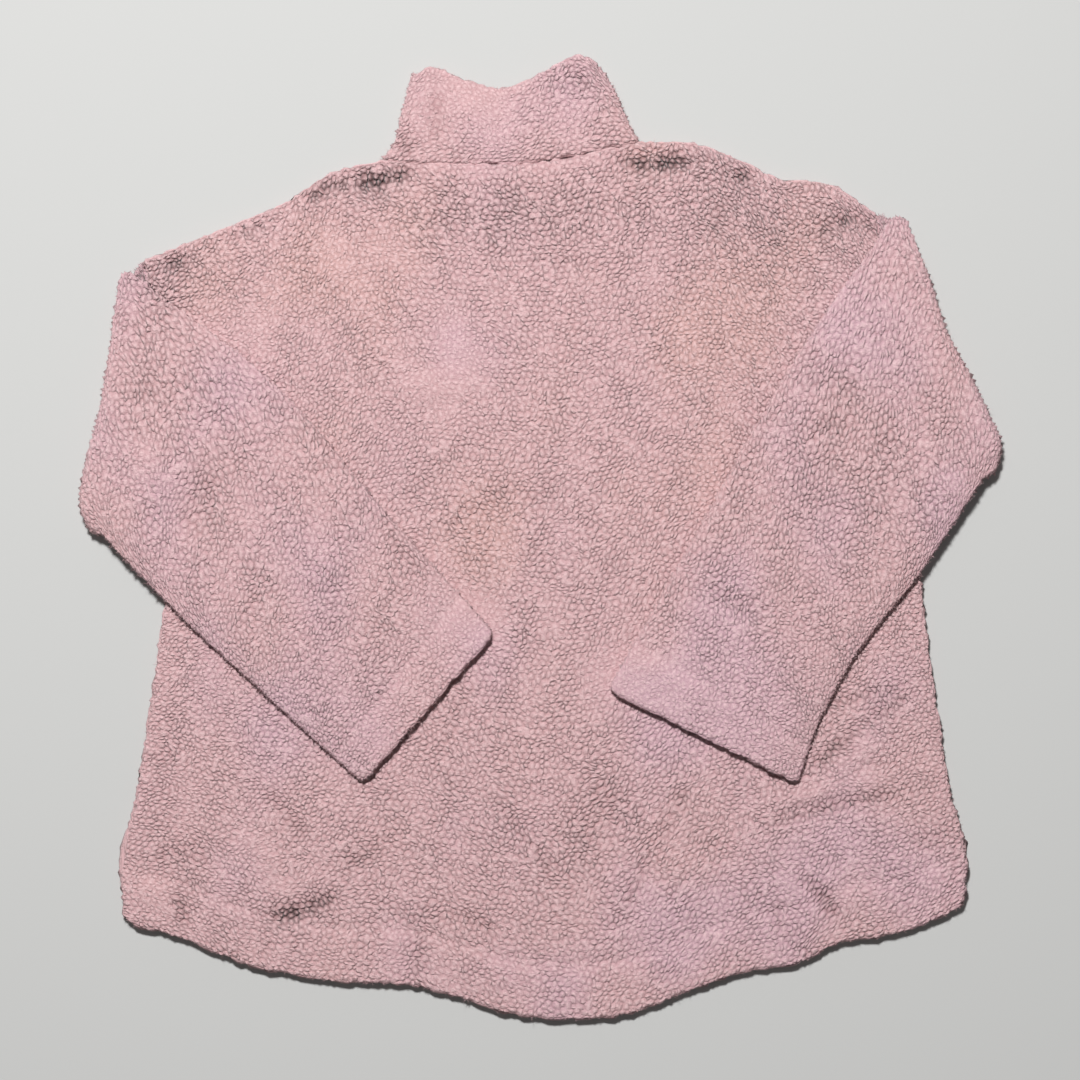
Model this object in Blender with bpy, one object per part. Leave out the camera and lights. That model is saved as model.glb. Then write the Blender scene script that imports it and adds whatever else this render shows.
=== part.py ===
"""Sherpa jacket laid face down, its sleeves folded over the back.

Built as it is sewn: a back, two fronts, two sleeves and a stand collar, each a wall of pile
cloth. The fronts lie on the ground, the back lies on them, and each sleeve is a flattened
tube that leaves its armhole, turns over at a fold and comes back across the back.

Plan: +X is the right of the jacket seen from behind, +Y points to the collar, +Z is up.
Sizes are in millimetres until the meshes are written, which is done in metres.
"""
import math

import bmesh
import bpy
import numpy as np

# ---------------------------------------------------------------- driving sizes, in millimetres
CLOTH = 5.0          # thickness of the pile cloth, backing and curls together
SEAM_GAP = 0.4       # room between neighbouring pieces
LAYER_GAP = 0.6      # room inside a flattened sleeve or collar, and between folded layers
EDGE = 5.0           # radius of a turned or seamed edge
HEM_BAND = 44.0      # height of the turned hem, up to its stitching
CUFF_BAND = 29.0     # height of the turned cuff, up to its stitching
STITCH_DEPTH = 1.3   # how far the stitching pulls the pile down
HEM_PUFF = 0.0       # how much fuller the turned hem is than the single cloth
CUFF_PUFF = 0.4      # and a turned cuff
COLLAR_PUFF = 1.0    # how much fuller the collar is
FRONT_OPENING = 1.2      # room between the two turned front edges
SLEEVE_SHIFT = 0.7       # a sleeve starts this far outside the edge of its armhole

FRONT_TOP = CLOTH
BACK_LOW = FRONT_TOP + LAYER_GAP
BACK_TOP = BACK_LOW + CLOTH
FOLD_AXIS = BACK_TOP + LAYER_GAP / 2     # height of the line that a sleeve is folded round
HALF = BACK_TOP / 2          # half the thickness of two layers and the room between them
SLIT = LAYER_GAP / 2         # half the room inside a flattened tube
HALF_COLLAR = 95.0           # half the width of the flattened collar

PINK = (0.62, 0.40, 0.40, 1.0)           # linear colour of the cloth
ROUGHNESS = 0.95
METALLIC = 0.0
METRES = 0.001

# ---------------------------------------------------------------- outlines, (x, y) in plan
# Each runs from left to right, or upwards along a side, and has a point at each of its bends.
LEFT_SHOULDER = [(-318, 220), (-270, 240), (-205, 267), (-162, 293), (-128, 300)]
BACK_NECK = [(-128, 300), (-60, 298), (0, 300), (80, 316)]
RIGHT_SHOULDER = [(80, 316), (125, 314), (165, 299), (190, 287), (228, 283), (270, 257)]
LEFT_FRONT_NECK = [(-128, 300), (-104, 268), (-64, 246), (-20, 240)]
RIGHT_FRONT_NECK = [(-20, 240), (28, 252), (64, 280), (80, 316)]
LEFT_SIDE = [(-332, -310), (-335, -285), (-322, -200), (-307, -100), (-287, 50)]
LEFT_ARMHOLE = [(-287, 50), (-294, 130), (-318, 220)]
RIGHT_SIDE = [(338, -298), (342, -270), (328, -200), (310, -80), (292, 95)]
RIGHT_ARMHOLE = [(292, 95), (279, 175), (270, 257)]
BACK_HEM = [(-332, -310), (-300, -318), (-230, -344), (-160, -357), (-110, -359), (0, -386),
            (50, -386), (165, -349), (205, -342), (245, -324), (275, -321), (338, -298)]
LEFT_FRONT_HEM = [(-330, -296), (-300, -306), (-230, -332), (-110, -348), (5, -370)]
RIGHT_FRONT_HEM = [(5, -370), (110, -354), (245, -312), (335, -290)]
CENTRE_FRONT = [(5, -370), (-20, 240)]

COLLAR_LEFT = [(-128, 300), (-117, 316), (-112, 338), (-104, 368)]
COLLAR_TOP = [(-104, 368), (-88, 376), (-60, 366), (-28, 359), (5, 374), (34, 386), (50, 374)]
COLLAR_RIGHT = [(80, 316), (70, 336), (60, 358), (50, 374)]
COLLAR_FRONT_DIP = 5.0     # the front half of the collar ends this much lower

# A sleeve lies in three stretches: flat from its armhole to its fold, round the fold, and
# back over the body to its cuff. arm_top is the edge along the top of the arm and underarm
# the seam opposite it, both from fold to cuff. outward points away from the body.
LEFT_SLEEVE = {
    "fold": [(-325, 210), (-331, 170), (-342, 100), (-354, 55), (-358, 22), (-349, 0)],
    "arm_top": [(-325, 210), (-215, 125), (-110, 5), (-35, -77)],
    "underarm": [(-349, 0), (-325, -26), (-300, -52), (-222, -125), (-142, -198)],
    "outward": (-0.987, 0.158),
}
RIGHT_SLEEVE = {
    "fold": [(281, 254), (301, 205), (312, 171), (348, 97), (359, 68), (355, 46)],
    "arm_top": [(281, 254), (208, 150), (120, -5), (53, -123)],
    "underarm": [(355, 46), (305, -28), (247, -104), (222, -152), (206, -198)],
    "outward": (0.936, 0.352),
}

# The broad folds, as soft ridges (+) and troughs (-) along a line: its ends, the half width
# and the height of its bell. The back has troughs only, so that its top stays one level.
# columns: x0, y0, x1, y1, half_width, height
BACK_FOLDS = [
    (-165, 280, -110, 288, 12, -3.0),      # beside the collar
    (60, 300, 125, 298, 12, -2.8),
    (225, 250, 262, 256, 10, -2.4),        # right shoulder
    (215, -190, 305, -122, 10, -2.2),      # lower right
    (165, -230, 310, -200, 10, -2.2),
    (120, -195, 65, -300, 12, -2.0),       # lower middle
    (-40, -205, 20, -280, 12, -1.8),
    (-222, -305, -160, -290, 13, -3.0),    # lower left
    (-165, -268, -110, -240, 12, -2.0),
    (-290, -280, -282, -318, 10, -2.0),
    (230, -285, 242, -312, 10, -2.0),      # hem
]
LEFT_SLEEVE_FOLDS = [
    (-255, 60, -285, -5, 15, -3.0),
    (-315, 80, -295, 25, 18, 2.0),
    (-190, 95, -95, -45, 10, -2.4),
    (-235, 150, -190, 100, 12, 1.6),
    (-325, 120, -280, 110, 15, -1.4),
]
RIGHT_SLEEVE_FOLDS = [
    (200, 128, 262, 115, 13, -2.2),
    (210, 78, 258, 100, 13, -2.2),
    (120, -40, 185, -65, 12, -2.0),
    (270, 190, 288, 165, 13, 1.6),
]
COLLAR_FOLDS = [(-82, 360, -82, 310, 9, -2.4), (-50, 355, -35, 325, 14, 1.2)]
DEEPEST = -3.1       # no trough of a flat panel is deeper, so that its wall keeps a thickness

# The two layers of a sleeve that lie on the back are pressed flatter near its shoulder,
# where the cloth is pulled, and near its cuff: by how much at most, and how far it reaches.
SHOULDER_PRESS, SHOULDER_REACH = -5.4, 75.0
CUFF_PRESS, CUFF_REACH = -2.6, 60.0
PRESS_LIMITS = (0.38, 1.6)      # least and most of its own height that a sleeve keeps

# Distances from an edge where a wall has its rows, and how full it is there, from a round.
EDGE_ROWS = [0.0, 0.13, 0.5, 1.0]
ARC_TURNS = [45, 0, -45]     # degrees, over the rounded edge of a flattened tube

# Where the corners of a panel's edges lie, as fractions of an edge.
ARMPIT = 0.69              # up a side
BACK_NECK_ENDS = (0.35, 0.67)   # across the top of the back
FRONT_NECK_END = 0.64      # from an armhole to the centre front


# ---------------------------------------------------------------- curves and patches
def smooth(points, fractions):
    """A smooth curve through the points, read at fractions of its chord length.

    Each stretch is a cubic whose end slopes are those of the line through its neighbours."""
    p = np.array(points, float)
    chord = np.concatenate([[0], np.cumsum(np.hypot(*np.diff(p, axis=0).T))])
    slope = np.gradient(p, chord, axis=0)
    s = np.clip(np.asarray(fractions, float), 0, 1) * chord[-1]
    k = np.clip(np.searchsorted(chord, s, side="right") - 1, 0, len(p) - 2)
    h = (chord[k + 1] - chord[k])[:, None]
    t = ((s - chord[k]) / h[:, 0])[:, None]
    start, end = p[k], p[k + 1]
    bend = (2 * t**3 - 3 * t**2 + 1) * start + (3 * t**2 - 2 * t**3) * end
    return bend + (t**3 - 2 * t**2 + t) * h * slope[k] + (t**3 - t**2) * h * slope[k + 1]


def length(points):
    """Length of a row of points."""
    return float(np.hypot(*np.diff(np.array(points, float), axis=0).T).sum())


def join(stretches, breaks=None):
    """Curves end to end, as one function of a fraction, which meet at the breaks.

    With no breaks given, each curve takes its share of the length."""
    if breaks is None:
        lengths = np.cumsum([length(stretch) for stretch in stretches])
        breaks = lengths[:-1] / lengths[-1]
    total = np.concatenate([[0], breaks, [1]])

    def curve(fractions):
        f = np.asarray(fractions, float)
        out = np.zeros((len(f), 2))
        for k, stretch in enumerate(stretches):
            last = k == len(stretches) - 1
            inside = (f >= total[k]) & ((f <= 1) if last else (f < total[k + 1]))
            out[inside] = smooth(stretch, (f[inside] - total[k]) / (total[k + 1] - total[k]))
        return out

    return curve


def patch(low, high, left, right, u, v):
    """A sheet spanned between four edge curves: the sum of the two ruled sheets between
    opposite edges, less the sheet between the four corners. u runs across, v upwards."""
    bottom, top = low(u), high(u)
    west, east = left(v), right(v)
    a, b = u[None, :, None], v[:, None, None]
    ruled = (1 - b) * bottom[None] + b * top[None] + (1 - a) * west[:, None] + a * east[:, None]
    ends = np.array([0.0, 1.0])
    (south_west, south_east), (north_west, north_east) = low(ends), high(ends)
    corners = ((1 - a) * (1 - b) * south_west + a * (1 - b) * south_east
               + (1 - a) * b * north_west + a * b * north_east)
    return ruled - corners


def stations(total, counts, first, last, breaks=()):
    """Fractions of a length: the listed distances from each end, and between them even
    steps, as many as counts says on each stretch between two breaks."""
    first, last = np.array(first, float) / total, 1 - np.array(last, float)[::-1] / total
    marks = [first[-1], *breaks, last[0]]
    middle = [np.linspace(a, b, count + 1)[1:]
              for a, b, count in zip(marks[:-1], marks[1:], counts)]
    return np.concatenate([first, *middle, last[1:]])


def fullness(count, at_start=True, at_end=True):
    """How full a wall is on each of its rows: a quarter round over the rows of an edge."""
    full = np.ones(count)
    edge = np.sqrt(1 - (1 - np.array(EDGE_ROWS)) ** 2)
    if at_start:
        full[:len(edge)] = edge
    if at_end:
        full[-len(edge):] = np.minimum(full[-len(edge):], edge[::-1])
    return full


def relief(plan, folds):
    """Height that the folds add at each point of a plan: along each fold's line a soft bump,
    which falls off as a bell curve with the distance to the line, and fades over the last
    quarter of its length."""
    height = np.zeros(plan.shape[:-1])
    for x0, y0, x1, y1, half_width, rise in folds:
        start, run = np.array([x0, y0]), np.array([x1 - x0, y1 - y0])
        along = np.clip(((plan - start) @ run) / (run @ run), 0, 1)
        distance = np.linalg.norm(plan - start - along[..., None] * run, axis=-1)
        fade = np.clip(np.minimum(along, 1 - along) * 4, 0.25, 1)
        height += rise * fade * np.exp(-(distance / half_width) ** 2)
    return height


def settle(points, rise, base, thickness):
    """Presses or fluffs up what lies above a base, so that its top moves by the rise."""
    share = np.clip(1 + rise / thickness, *PRESS_LIMITS)
    settled = points.copy()
    settled[..., 2] += np.maximum(points[..., 2] - base, 0) * (share - 1)
    return settled


def band(distance, depth, puff, stitch_half_width=5.0):
    """A turned band along an edge: fuller up to its stitching, which is drawn in."""
    inside = 1 / (1 + np.exp((distance - depth) / 2.0))
    stitch = np.exp(-((distance - depth) / stitch_half_width) ** 2)
    return puff * inside - STITCH_DEPTH * stitch


# ---------------------------------------------------------------- meshes
def cloth_material(name):
    """The pile cloth: pink, rough all over."""
    material = bpy.data.materials.new(name)
    material.use_nodes = True
    shader = material.node_tree.nodes["Principled BSDF"]
    shader.inputs["Base Color"].default_value = PINK
    shader.inputs["Roughness"].default_value = ROUGHNESS
    shader.inputs["Metallic"].default_value = METALLIC
    return material


def wall(name, outer, inner, closed=False):
    """A solid wall between two grids of points in millimetres, rows along and columns round.

    Where the two grids meet at an edge, their doubled points are merged into one."""
    rows, columns = outer.shape[:2]
    points = np.concatenate([outer.reshape(-1, 3), inner.reshape(-1, 3)]) * METRES
    lower = rows * columns
    faces = []
    for i in range(rows - 1):
        for j in range(columns if closed else columns - 1):
            k = (j + 1) % columns
            a, b, c, d = i * columns + j, i * columns + k, (i + 1) * columns + k, (i + 1) * columns + j
            faces += [(a, b, c, d), (lower + d, lower + c, lower + b, lower + a)]
    for i, turned in ((0, False), (rows - 1, True)):
        for j in range(columns if closed else columns - 1):
            a, b = i * columns + j, i * columns + (j + 1) % columns
            rim = (lower + a, lower + b, b, a)
            faces.append(rim[::-1] if turned else rim)
    if not closed:
        for j, turned in ((0, True), (columns - 1, False)):
            for i in range(rows - 1):
                a, b = i * columns + j, (i + 1) * columns + j
                rim = (lower + a, lower + b, b, a)
                faces.append(rim[::-1] if turned else rim)

    mesh = bpy.data.meshes.new(name)
    mesh.from_pydata(points.tolist(), [], faces)
    return tidy(name, mesh)


def tidy(name, mesh):
    """Merges doubled points, turns all faces outwards and links the mesh as an object."""
    solid = bmesh.new()
    solid.from_mesh(mesh)
    bmesh.ops.remove_doubles(solid, verts=solid.verts, dist=0.00002)
    bmesh.ops.triangulate(solid, faces=solid.faces)
    bmesh.ops.recalc_face_normals(solid, faces=solid.faces)
    solid.to_mesh(mesh)
    solid.free()
    mesh.shade_smooth()
    mesh.set_sharp_from_angle(angle=math.radians(50))
    mesh.materials.append(cloth_material(name + "_cloth"))
    obj = bpy.data.objects.new(name, mesh)
    bpy.context.collection.objects.link(obj)
    return obj


def raised(plan, z):
    """Plan points with their heights."""
    return np.concatenate([plan, np.broadcast_to(z, plan.shape[:-1])[..., None]], axis=-1)


def round_off(outer, inner, full):
    """Draws two faces together where a wall ends, so that its edge is a half round."""
    middle, half = (outer + inner) / 2, (outer - inner) / 2
    return middle + half * full[..., None], middle - half * full[..., None]


# ---------------------------------------------------------------- flat panels
def panel(name, edges, across, upwards, low, high, folds=(), hem_band=False):
    """A flat panel between its four edges, from height low to height high."""
    hem, top, left, right = edges
    plan = patch(hem, top, left, right, across, upwards)
    full = np.outer(fullness(len(upwards)), fullness(len(across)))
    rise = np.maximum(relief(plan, folds), DEEPEST)
    if hem_band:
        column_height = np.linalg.norm(plan[-1] - plan[0], axis=-1)
        rise += band(upwards[:, None] * column_height[None], HEM_BAND, HEM_PUFF)
    upper, lower = round_off(raised(plan, high + rise), raised(plan, low), full)
    return wall(name, upper, lower)


def make_back():
    """The back, with its turned shirt-tail hem, the neckline and the folds that show."""
    edge = [EDGE * row for row in EDGE_ROWS]
    hem = edge + [HEM_BAND * 0.5, HEM_BAND - 9, HEM_BAND, HEM_BAND + 9]
    across = stations(620, (9, 9, 9), edge, edge, BACK_NECK_ENDS)
    upwards = stations(620, (16, 8), hem, edge, (ARMPIT,))
    top = join([LEFT_SHOULDER, BACK_NECK, RIGHT_SHOULDER], BACK_NECK_ENDS)
    left = join([LEFT_SIDE, LEFT_ARMHOLE], (ARMPIT,))
    right = join([RIGHT_SIDE, RIGHT_ARMHOLE], (ARMPIT,))
    return panel("back", (join([BACK_HEM]), top, left, right), across, upwards,
                 BACK_LOW, BACK_TOP, BACK_FOLDS, hem_band=True)


def make_fronts():
    """The two fronts, plain, flat on the ground, their turned edges meeting at the centre."""
    edge = [EDGE * row for row in EDGE_ROWS]
    to_neck = stations(310, (5,), edge, [0.0], ()) * FRONT_NECK_END
    from_side = np.concatenate([to_neck, FRONT_NECK_END + (1 - FRONT_NECK_END) * half_neck()])
    upwards = stations(600, (9, 5), edge, edge, (ARMPIT,))
    centre = np.array(CENTRE_FRONT, float)
    left_edge = join([centre - (FRONT_OPENING / 2, 0)])
    right_edge = join([centre + (FRONT_OPENING / 2, 0)])
    left = panel("front_left",
                 (ending(LEFT_FRONT_HEM, last=left_edge([0])),
                  ending(LEFT_SHOULDER, LEFT_FRONT_NECK, last=left_edge([1]),
                         breaks=(FRONT_NECK_END,)),
                  join([LEFT_FRONT_HEM[:1] + LEFT_SIDE[1:], LEFT_ARMHOLE], (ARMPIT,)),
                  left_edge),
                 from_side, upwards, 0.0, FRONT_TOP)
    right = panel("front_right",
                  (ending(RIGHT_FRONT_HEM, first=right_edge([0])),
                   ending(RIGHT_FRONT_NECK, RIGHT_SHOULDER, first=right_edge([1]),
                          breaks=(1 - FRONT_NECK_END,)),
                   right_edge,
                   join([RIGHT_FRONT_HEM[-1:] + RIGHT_SIDE[1:], RIGHT_ARMHOLE], (ARMPIT,))),
                  1 - from_side[::-1], upwards, 0.0, FRONT_TOP)
    return left, right


def half_neck():
    """Fractions of half the front neckline, from its side to the centre front, at which the
    fronts and the collar both have a column, so that their edges run side by side."""
    edge = np.array([EDGE * row for row in EDGE_ROWS])[::-1]
    steps = np.linspace(HALF, HALF_COLLAR - EDGE, 7)[:-1]
    return np.concatenate([[HALF * (1 - math.cos(math.radians(45)))], steps,
                           HALF_COLLAR - edge]) / HALF_COLLAR


def ending(*stretches, first=None, last=None, breaks=None):
    """Curves end to end, whose first or last point is moved to the one given."""
    rows = [list(stretch) for stretch in stretches]
    if first is not None:
        rows[0][0] = tuple(first[0])
    if last is not None:
        rows[-1][-1] = tuple(last[0])
    return join(rows, breaks)


# ---------------------------------------------------------------- flattened tubes
def tube_columns(width, count):
    """Columns round a flattened tube: how far each lies across, and its outer and inner
    height. They go across the upper layer, round the far edge, back and round the near one."""
    flat = np.linspace(HALF, width - HALF, count)
    turn = np.radians(ARC_TURNS)
    across = np.concatenate([flat, width - HALF + HALF * np.cos(turn),
                             flat[::-1], HALF - HALF * np.cos(turn)])
    inner_across = np.concatenate([flat, width - HALF + SLIT * np.cos(turn),
                                   flat[::-1], HALF - SLIT * np.cos(turn)])
    lift = np.concatenate([np.ones(count), np.sin(turn), -np.ones(count), -np.sin(turn)])
    return across / width, inner_across / width, HALF + HALF * lift, HALF + SLIT * lift


def lay_sleeve(shape, armhole, shift, rows, across, height):
    """Where the points of a sleeve lie, for its rows and for columns given by how far they
    lie across and their height in the tube before it is folded.

    rows holds the fractions of the flat stretch, of the turn and of the stretch to the cuff.
    In the turn, a point's radius is its depth under the axis of the fold."""
    flat_rows, turn_rows, over_rows = rows
    outward = np.array(shape["outward"])
    fold = join([shape["fold"]])(across)
    start = armhole(1 - across) + outward * shift
    near, far = shape["arm_top"][-1], shape["underarm"][-1]
    stretches = []
    for f in flat_rows:
        stretches.append(raised((1 - f) * start + f * fold, height))
    radius = FOLD_AXIS - height
    for f in turn_rows:
        angle = math.pi * f
        stretches.append(raised(fold + outward * (radius * math.sin(angle))[:, None],
                                FOLD_AXIS - radius * math.cos(angle)))
    over = patch(join([shape["fold"]]), join([[near, far]]),
                 join([shape["arm_top"]]), join([shape["underarm"]]),
                 across, np.array(over_rows))
    for plan in over:
        stretches.append(raised(plan, 2 * FOLD_AXIS - height))
    return np.array(stretches)


def make_sleeve(name, shape, armhole, folds):
    """One sleeve: a flattened tube with an open armhole end and a turned cuff."""
    edge = [EDGE * row for row in EDGE_ROWS]
    cuff_rows = edge + [CUFF_BAND * 0.55, CUFF_BAND - 6, CUFF_BAND, CUFF_BAND + 6]
    reach = length(shape["underarm"])
    flat_rows = list(stations(60, (3,), edge, [0.0]))
    turn_rows = list(np.arange(1, 6) / 6)
    over_rows = stations(reach, (13,), [0.0], cuff_rows)
    rows = (flat_rows, turn_rows, over_rows)
    width = length([shape["arm_top"][-1], shape["underarm"][-1]])
    across, inner_across, outer_height, inner_height = tube_columns(width, 8)
    outer = lay_sleeve(shape, armhole, SLEEVE_SHIFT, rows, across, outer_height)
    inner = lay_sleeve(shape, armhole, SLEEVE_SHIFT, rows, inner_across, inner_height)

    from_cuff = np.full(len(outer), reach)
    from_cuff[-len(over_rows):] = (1 - over_rows) * reach
    cuff_rise = (CUFF_PRESS * np.exp(-(from_cuff / CUFF_REACH) ** 2)
                 + band(from_cuff, CUFF_BAND, CUFF_PUFF, 3.5))

    def pressed(points):
        """The points of a face with the folds, the flatter ends and the turned cuff."""
        plan = points[..., :2]
        from_shoulder = np.linalg.norm(plan - shape["fold"][0], axis=-1)
        rise = relief(plan, folds) + cuff_rise[:, None]
        rise += SHOULDER_PRESS * np.exp(-(from_shoulder / SHOULDER_REACH) ** 2)
        return settle(points, rise, BACK_TOP + LAYER_GAP, 2 * HALF)

    outer, inner = pressed(outer), pressed(inner)
    full = fullness(len(outer))[:, None] * np.ones(len(across))
    outer, inner = round_off(outer, inner, full)
    return wall(name, outer, inner, closed=True)


# ---------------------------------------------------------------- collar
def beside(curve, distance):
    """A curve moved sideways by a distance, to the left of the way it runs."""
    def moved(fractions):
        f = np.asarray(fractions, float)
        run = curve(np.clip(f + 0.01, 0, 1)) - curve(np.clip(f - 0.01, 0, 1))
        run = run / np.linalg.norm(run, axis=-1)[:, None]
        return curve(f) + distance * np.stack([-run[:, 1], run[:, 0]], axis=-1)
    return moved


def make_collar():
    """The stand collar: one band, flattened, its back half over its front half, and open at
    the centre front. Its lower edge follows the necklines, its folds stand up as two ears."""
    shift = SEAM_GAP * 1.5
    neck_back = beside(join([BACK_NECK]), shift)
    neck_front = beside(join([LEFT_FRONT_NECK, RIGHT_FRONT_NECK], (0.5,)), shift)
    top = join([COLLAR_TOP])
    left = join([[tuple(neck_back([0])[0])] + COLLAR_LEFT[1:]])
    right = join([[tuple(neck_back([1])[0])] + COLLAR_RIGHT[1:]])

    def front_low(f):
        low = neck_front(f)
        low[f <= 0] = neck_back([0])[0]
        low[f >= 1] = neck_back([1])[0]
        return low

    def front_top(f):
        return top(f) - np.outer(np.sin(np.pi * f), (0, COLLAR_FRONT_DIP))

    width = 2 * HALF_COLLAR
    half_front = half_neck()[1:] * HALF_COLLAR
    half_front[-4:] -= FRONT_OPENING / 2
    turn = np.radians(ARC_TURNS)
    back = np.linspace(width - HALF, HALF, 14)

    def columns(radius):
        """Across and height of each column, from the centre front round and back to it."""
        across = np.concatenate([width - half_front[::-1],
                                 width - HALF + radius * np.cos(-turn), back,
                                 HALF - radius * np.cos(turn), half_front])
        lift = np.concatenate([-np.ones(len(half_front)), np.sin(-turn), np.ones(len(back)),
                               np.sin(turn), -np.ones(len(half_front))])
        return across / width, HALF + radius * lift, lift

    edge = [EDGE * row for row in EDGE_ROWS]
    upwards = stations(75, (6,), edge, edge)

    def lay(radius):
        """The band's points at a radius from the middle of its folds."""
        across, height, lift = columns(radius)
        order = np.argsort(across)
        sheets = []
        for low, high in ((neck_back, top), (front_low, front_top)):
            sheet = np.zeros((len(upwards), len(across), 2))
            sheet[:, order] = patch(low, high, left, right, across[order], upwards)
            sheets.append(sheet)
        plan = np.where((lift >= 0)[None, :, None], sheets[0], sheets[1])
        return raised(plan, height[None]), lift

    outer, lift = lay(HALF)
    inner, _ = lay(SLIT)
    puff = COLLAR_PUFF * np.sin(np.pi * upwards)[:, None]
    outer[..., 2] += (relief(outer[..., :2], COLLAR_FOLDS) + puff) * np.clip(lift, 0, 1)
    full = np.outer(fullness(len(upwards)), fullness(len(lift)))
    outer, inner = round_off(outer, inner, full)
    return wall("collar", outer, inner)


# ---------------------------------------------------------------- the jacket
def main():
    for old in list(bpy.data.objects):
        bpy.data.objects.remove(old, do_unlink=True)
    make_back()
    make_fronts()
    make_sleeve("sleeve_left", LEFT_SLEEVE, join([LEFT_ARMHOLE]), LEFT_SLEEVE_FOLDS)
    make_sleeve("sleeve_right", RIGHT_SLEEVE, join([RIGHT_ARMHOLE]), RIGHT_SLEEVE_FOLDS)
    make_collar()


main()
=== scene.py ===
# %% [markdown]
# # A sherpa jacket, laid face down with its sleeves folded over the back
#
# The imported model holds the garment's solids at their real size. This notebook dresses them:
# every piece of the jacket gets the curly pile that sherpa cloth really has, as geometry that
# a light can rake across, and a material for its fibres, cracks and colour.

# %% Load the frame
import math

import bmesh
import bpy
import numpy as np
from mathutils.geometry import delaunay_2d_cdt
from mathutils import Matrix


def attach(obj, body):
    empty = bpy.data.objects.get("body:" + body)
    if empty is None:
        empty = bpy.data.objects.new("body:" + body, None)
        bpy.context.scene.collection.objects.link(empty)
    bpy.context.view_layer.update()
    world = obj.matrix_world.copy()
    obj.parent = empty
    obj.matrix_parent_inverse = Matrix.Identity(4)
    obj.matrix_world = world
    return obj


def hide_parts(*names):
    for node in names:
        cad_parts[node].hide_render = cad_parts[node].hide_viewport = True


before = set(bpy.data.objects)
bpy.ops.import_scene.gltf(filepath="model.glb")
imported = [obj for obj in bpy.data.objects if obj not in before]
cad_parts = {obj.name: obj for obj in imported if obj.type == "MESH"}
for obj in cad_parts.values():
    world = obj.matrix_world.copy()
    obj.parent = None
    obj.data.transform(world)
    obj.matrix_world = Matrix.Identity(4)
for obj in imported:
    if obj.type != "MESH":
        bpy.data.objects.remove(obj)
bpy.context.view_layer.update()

random = np.random.default_rng(20)
print("solids:", ", ".join(sorted(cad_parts)))

# %% [markdown]
# ## Sizes
#
# Shapes are worked out in millimetres and written in metres. Sherpa is a knitted backing with
# a curly pile, about 5 mm thick in all, so each piece is such a wall with a face of curls.

# %% Sizes of the cloth and of the layers
MM = 0.001
CLOTH = 5.0  # backing and pile together
LAYER_GAP = 0.6  # room between folded layers
EDGE = 5.0  # a turned or seamed edge is rounded over this width
BACK_LOW = CLOTH + LAYER_GAP
BACK_TOP = BACK_LOW + CLOTH
HALF = BACK_TOP / 2  # half the thickness of a flattened tube
SLIT = LAYER_GAP / 2  # half the room inside it
FOLD_AXIS = BACK_TOP + LAYER_GAP / 2
SLEEVE_SHIFT = 0.7  # a sleeve starts this far outside the edge of its armhole
FRONT_OPENING = 1.2  # room between the two front edges
CURL = 4.5  # from the middle of one curl to the next
# Turned bands: height up to the stitching, fullness, and the stitching's groove and half width.
HEM_BAND = (44.0, 1.4, 1.8, 5.0)
CUFF_BAND = (29.0, 1.2, 1.6, 4.0)

# %% [markdown]
# ## Outlines
#
# The pieces repeat the plan outlines of the solids. +X is the right of the jacket seen from
# behind, and +Y points to the collar. A smooth curve joins the points of each outline.

# %% Outlines of the panels, (x, y), each from left to right or upwards
LEFT_SHOULDER = [(-318, 220), (-270, 240), (-205, 267), (-162, 293), (-128, 300)]
BACK_NECK = [(-128, 300), (-60, 298), (0, 300), (80, 316)]
RIGHT_SHOULDER = [(80, 316), (125, 314), (165, 299), (190, 287), (228, 283), (270, 257)]
LEFT_FRONT_NECK = [(-128, 300), (-104, 268), (-64, 246), (-20, 240)]
RIGHT_FRONT_NECK = [(-20, 240), (28, 252), (64, 280), (80, 316)]
LEFT_SIDE = [(-332, -310), (-335, -285), (-322, -200), (-307, -100), (-287, 50)]
LEFT_ARMHOLE = [(-287, 50), (-294, 130), (-318, 220)]
RIGHT_SIDE = [(338, -298), (342, -270), (328, -200), (310, -80), (292, 95)]
RIGHT_ARMHOLE = [(292, 95), (279, 175), (270, 257)]
BACK_HEM = [(-332, -310), (-300, -318), (-230, -344), (-160, -357), (-110, -359), (0, -386),
            (50, -386), (165, -349), (205, -342), (245, -324), (275, -321), (338, -298)]
LEFT_FRONT_HEM = [(-330, -296), (-300, -306), (-230, -332), (-110, -348), (5, -370)]
RIGHT_FRONT_HEM = [(5, -370), (110, -354), (245, -312), (335, -290)]
CENTRE_FRONT = [(5, -370), (-20, 240)]
ARMPIT = 0.69  # fractions of an edge at which its corners lie
BACK_NECK_ENDS = (0.35, 0.67)
FRONT_NECK_END = 0.64

# %% Outlines of the sleeves and the collar
# A sleeve's arm_top and underarm edges run from its fold to its cuff.
LEFT_SLEEVE = {
    "fold": [(-325, 210), (-331, 170), (-342, 100), (-354, 55), (-358, 22), (-349, 0)],
    "arm_top": [(-325, 210), (-215, 125), (-110, 5), (-35, -77)],
    "underarm": [(-349, 0), (-325, -26), (-300, -52), (-222, -125), (-142, -198)],
    "outward": (-0.987, 0.158),
}
RIGHT_SLEEVE = {
    "fold": [(281, 254), (301, 205), (312, 171), (348, 97), (359, 68), (355, 46)],
    "arm_top": [(281, 254), (208, 150), (120, -5), (53, -123)],
    "underarm": [(355, 46), (305, -28), (247, -104), (222, -152), (206, -198)],
    "outward": (0.936, 0.352),
}
COLLAR_LEFT = [(-128, 300), (-117, 316), (-112, 338), (-104, 368)]
COLLAR_TOP = [(-104, 368), (-88, 376), (-60, 366), (-28, 359), (5, 374), (34, 386), (50, 374)]
COLLAR_RIGHT = [(80, 316), (70, 336), (60, 358), (50, 374)]
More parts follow.
